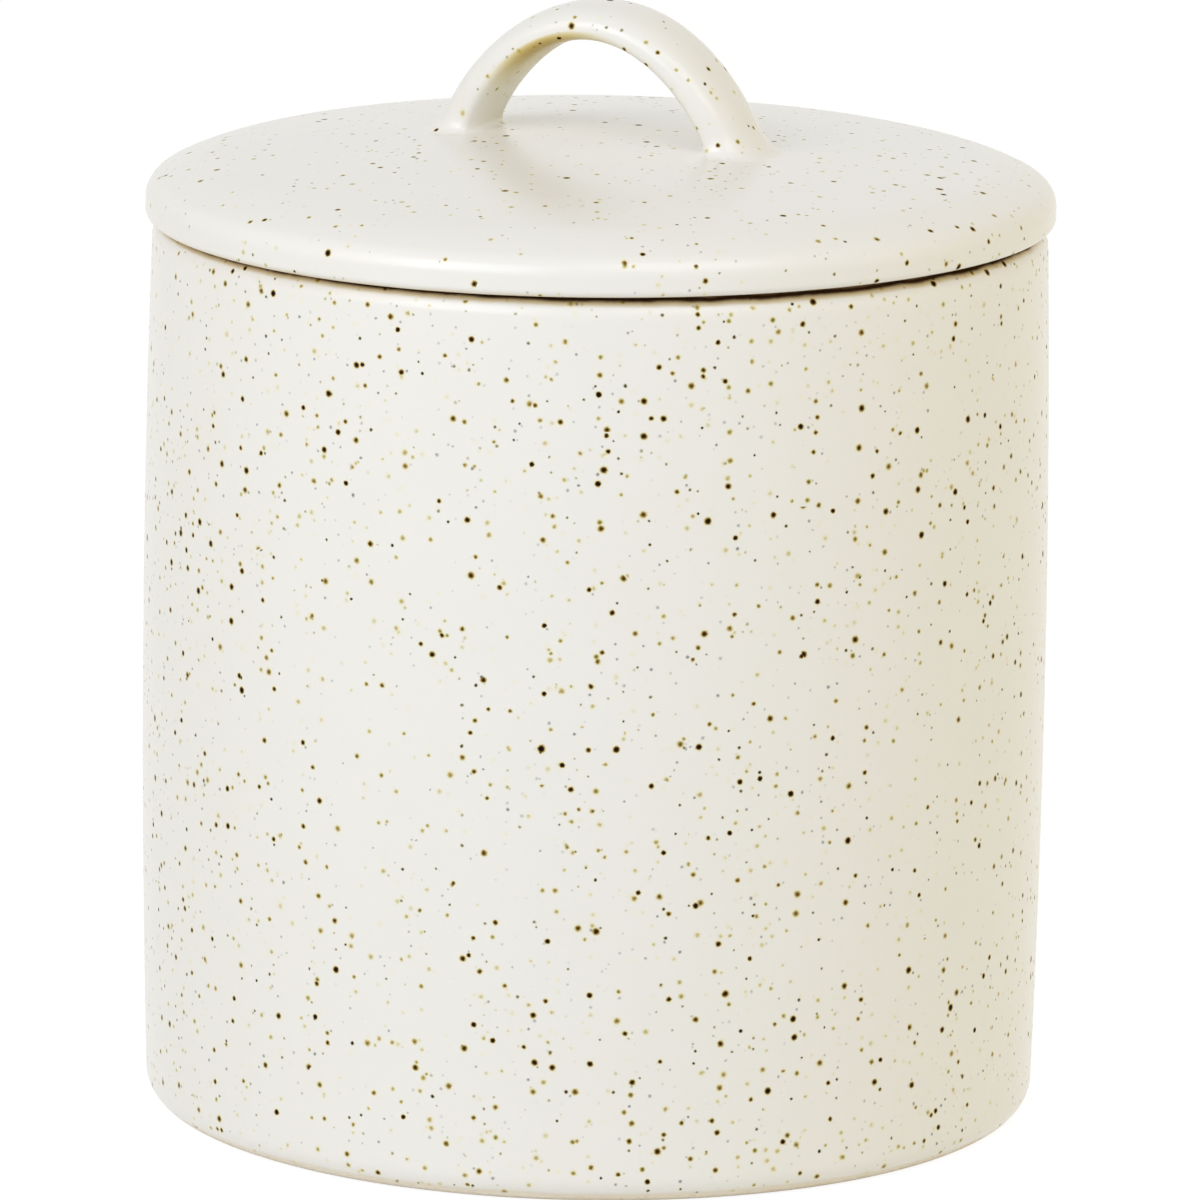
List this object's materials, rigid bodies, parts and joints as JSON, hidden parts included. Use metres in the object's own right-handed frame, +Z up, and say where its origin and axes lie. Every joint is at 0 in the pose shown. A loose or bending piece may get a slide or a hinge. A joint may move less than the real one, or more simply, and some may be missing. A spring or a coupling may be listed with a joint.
{
  "type": "lidded storage jar",
  "caption": "Barrel-sided stoneware storage jar with a domed lift-off lid, a locating ring under the lid and an arched strap handle, in cream speckled glaze.",
  "frame": {"origin": "middle of the foot ring, on the plane the jar stands on", "axes": "+Z up along the axis of the jar, +X along the lid's strap handle, +Y across the handle"},
  "size_m": [0.1202, 0.1202, 0.1481],
  "materials": {
    "speckled_glaze": "satin gloss, cream with brown, ochre and grey iron speckle",
    "bare_clay": "matt unglazed stoneware"
  },
  "bodies": {
    "jar": {"jar_body": "speckled_glaze"},
    "lid_body": {"lid": "speckled_glaze", "lid_flange": "bare_clay", "strap_handle": "speckled_glaze"}
  },
  "joints": [
    {"name": "lid_lift", "type": "slide", "parent": "jar", "child": "lid_body", "axis": [0, 0, 1], "range_m": [0, 0.15]}
  ]
}
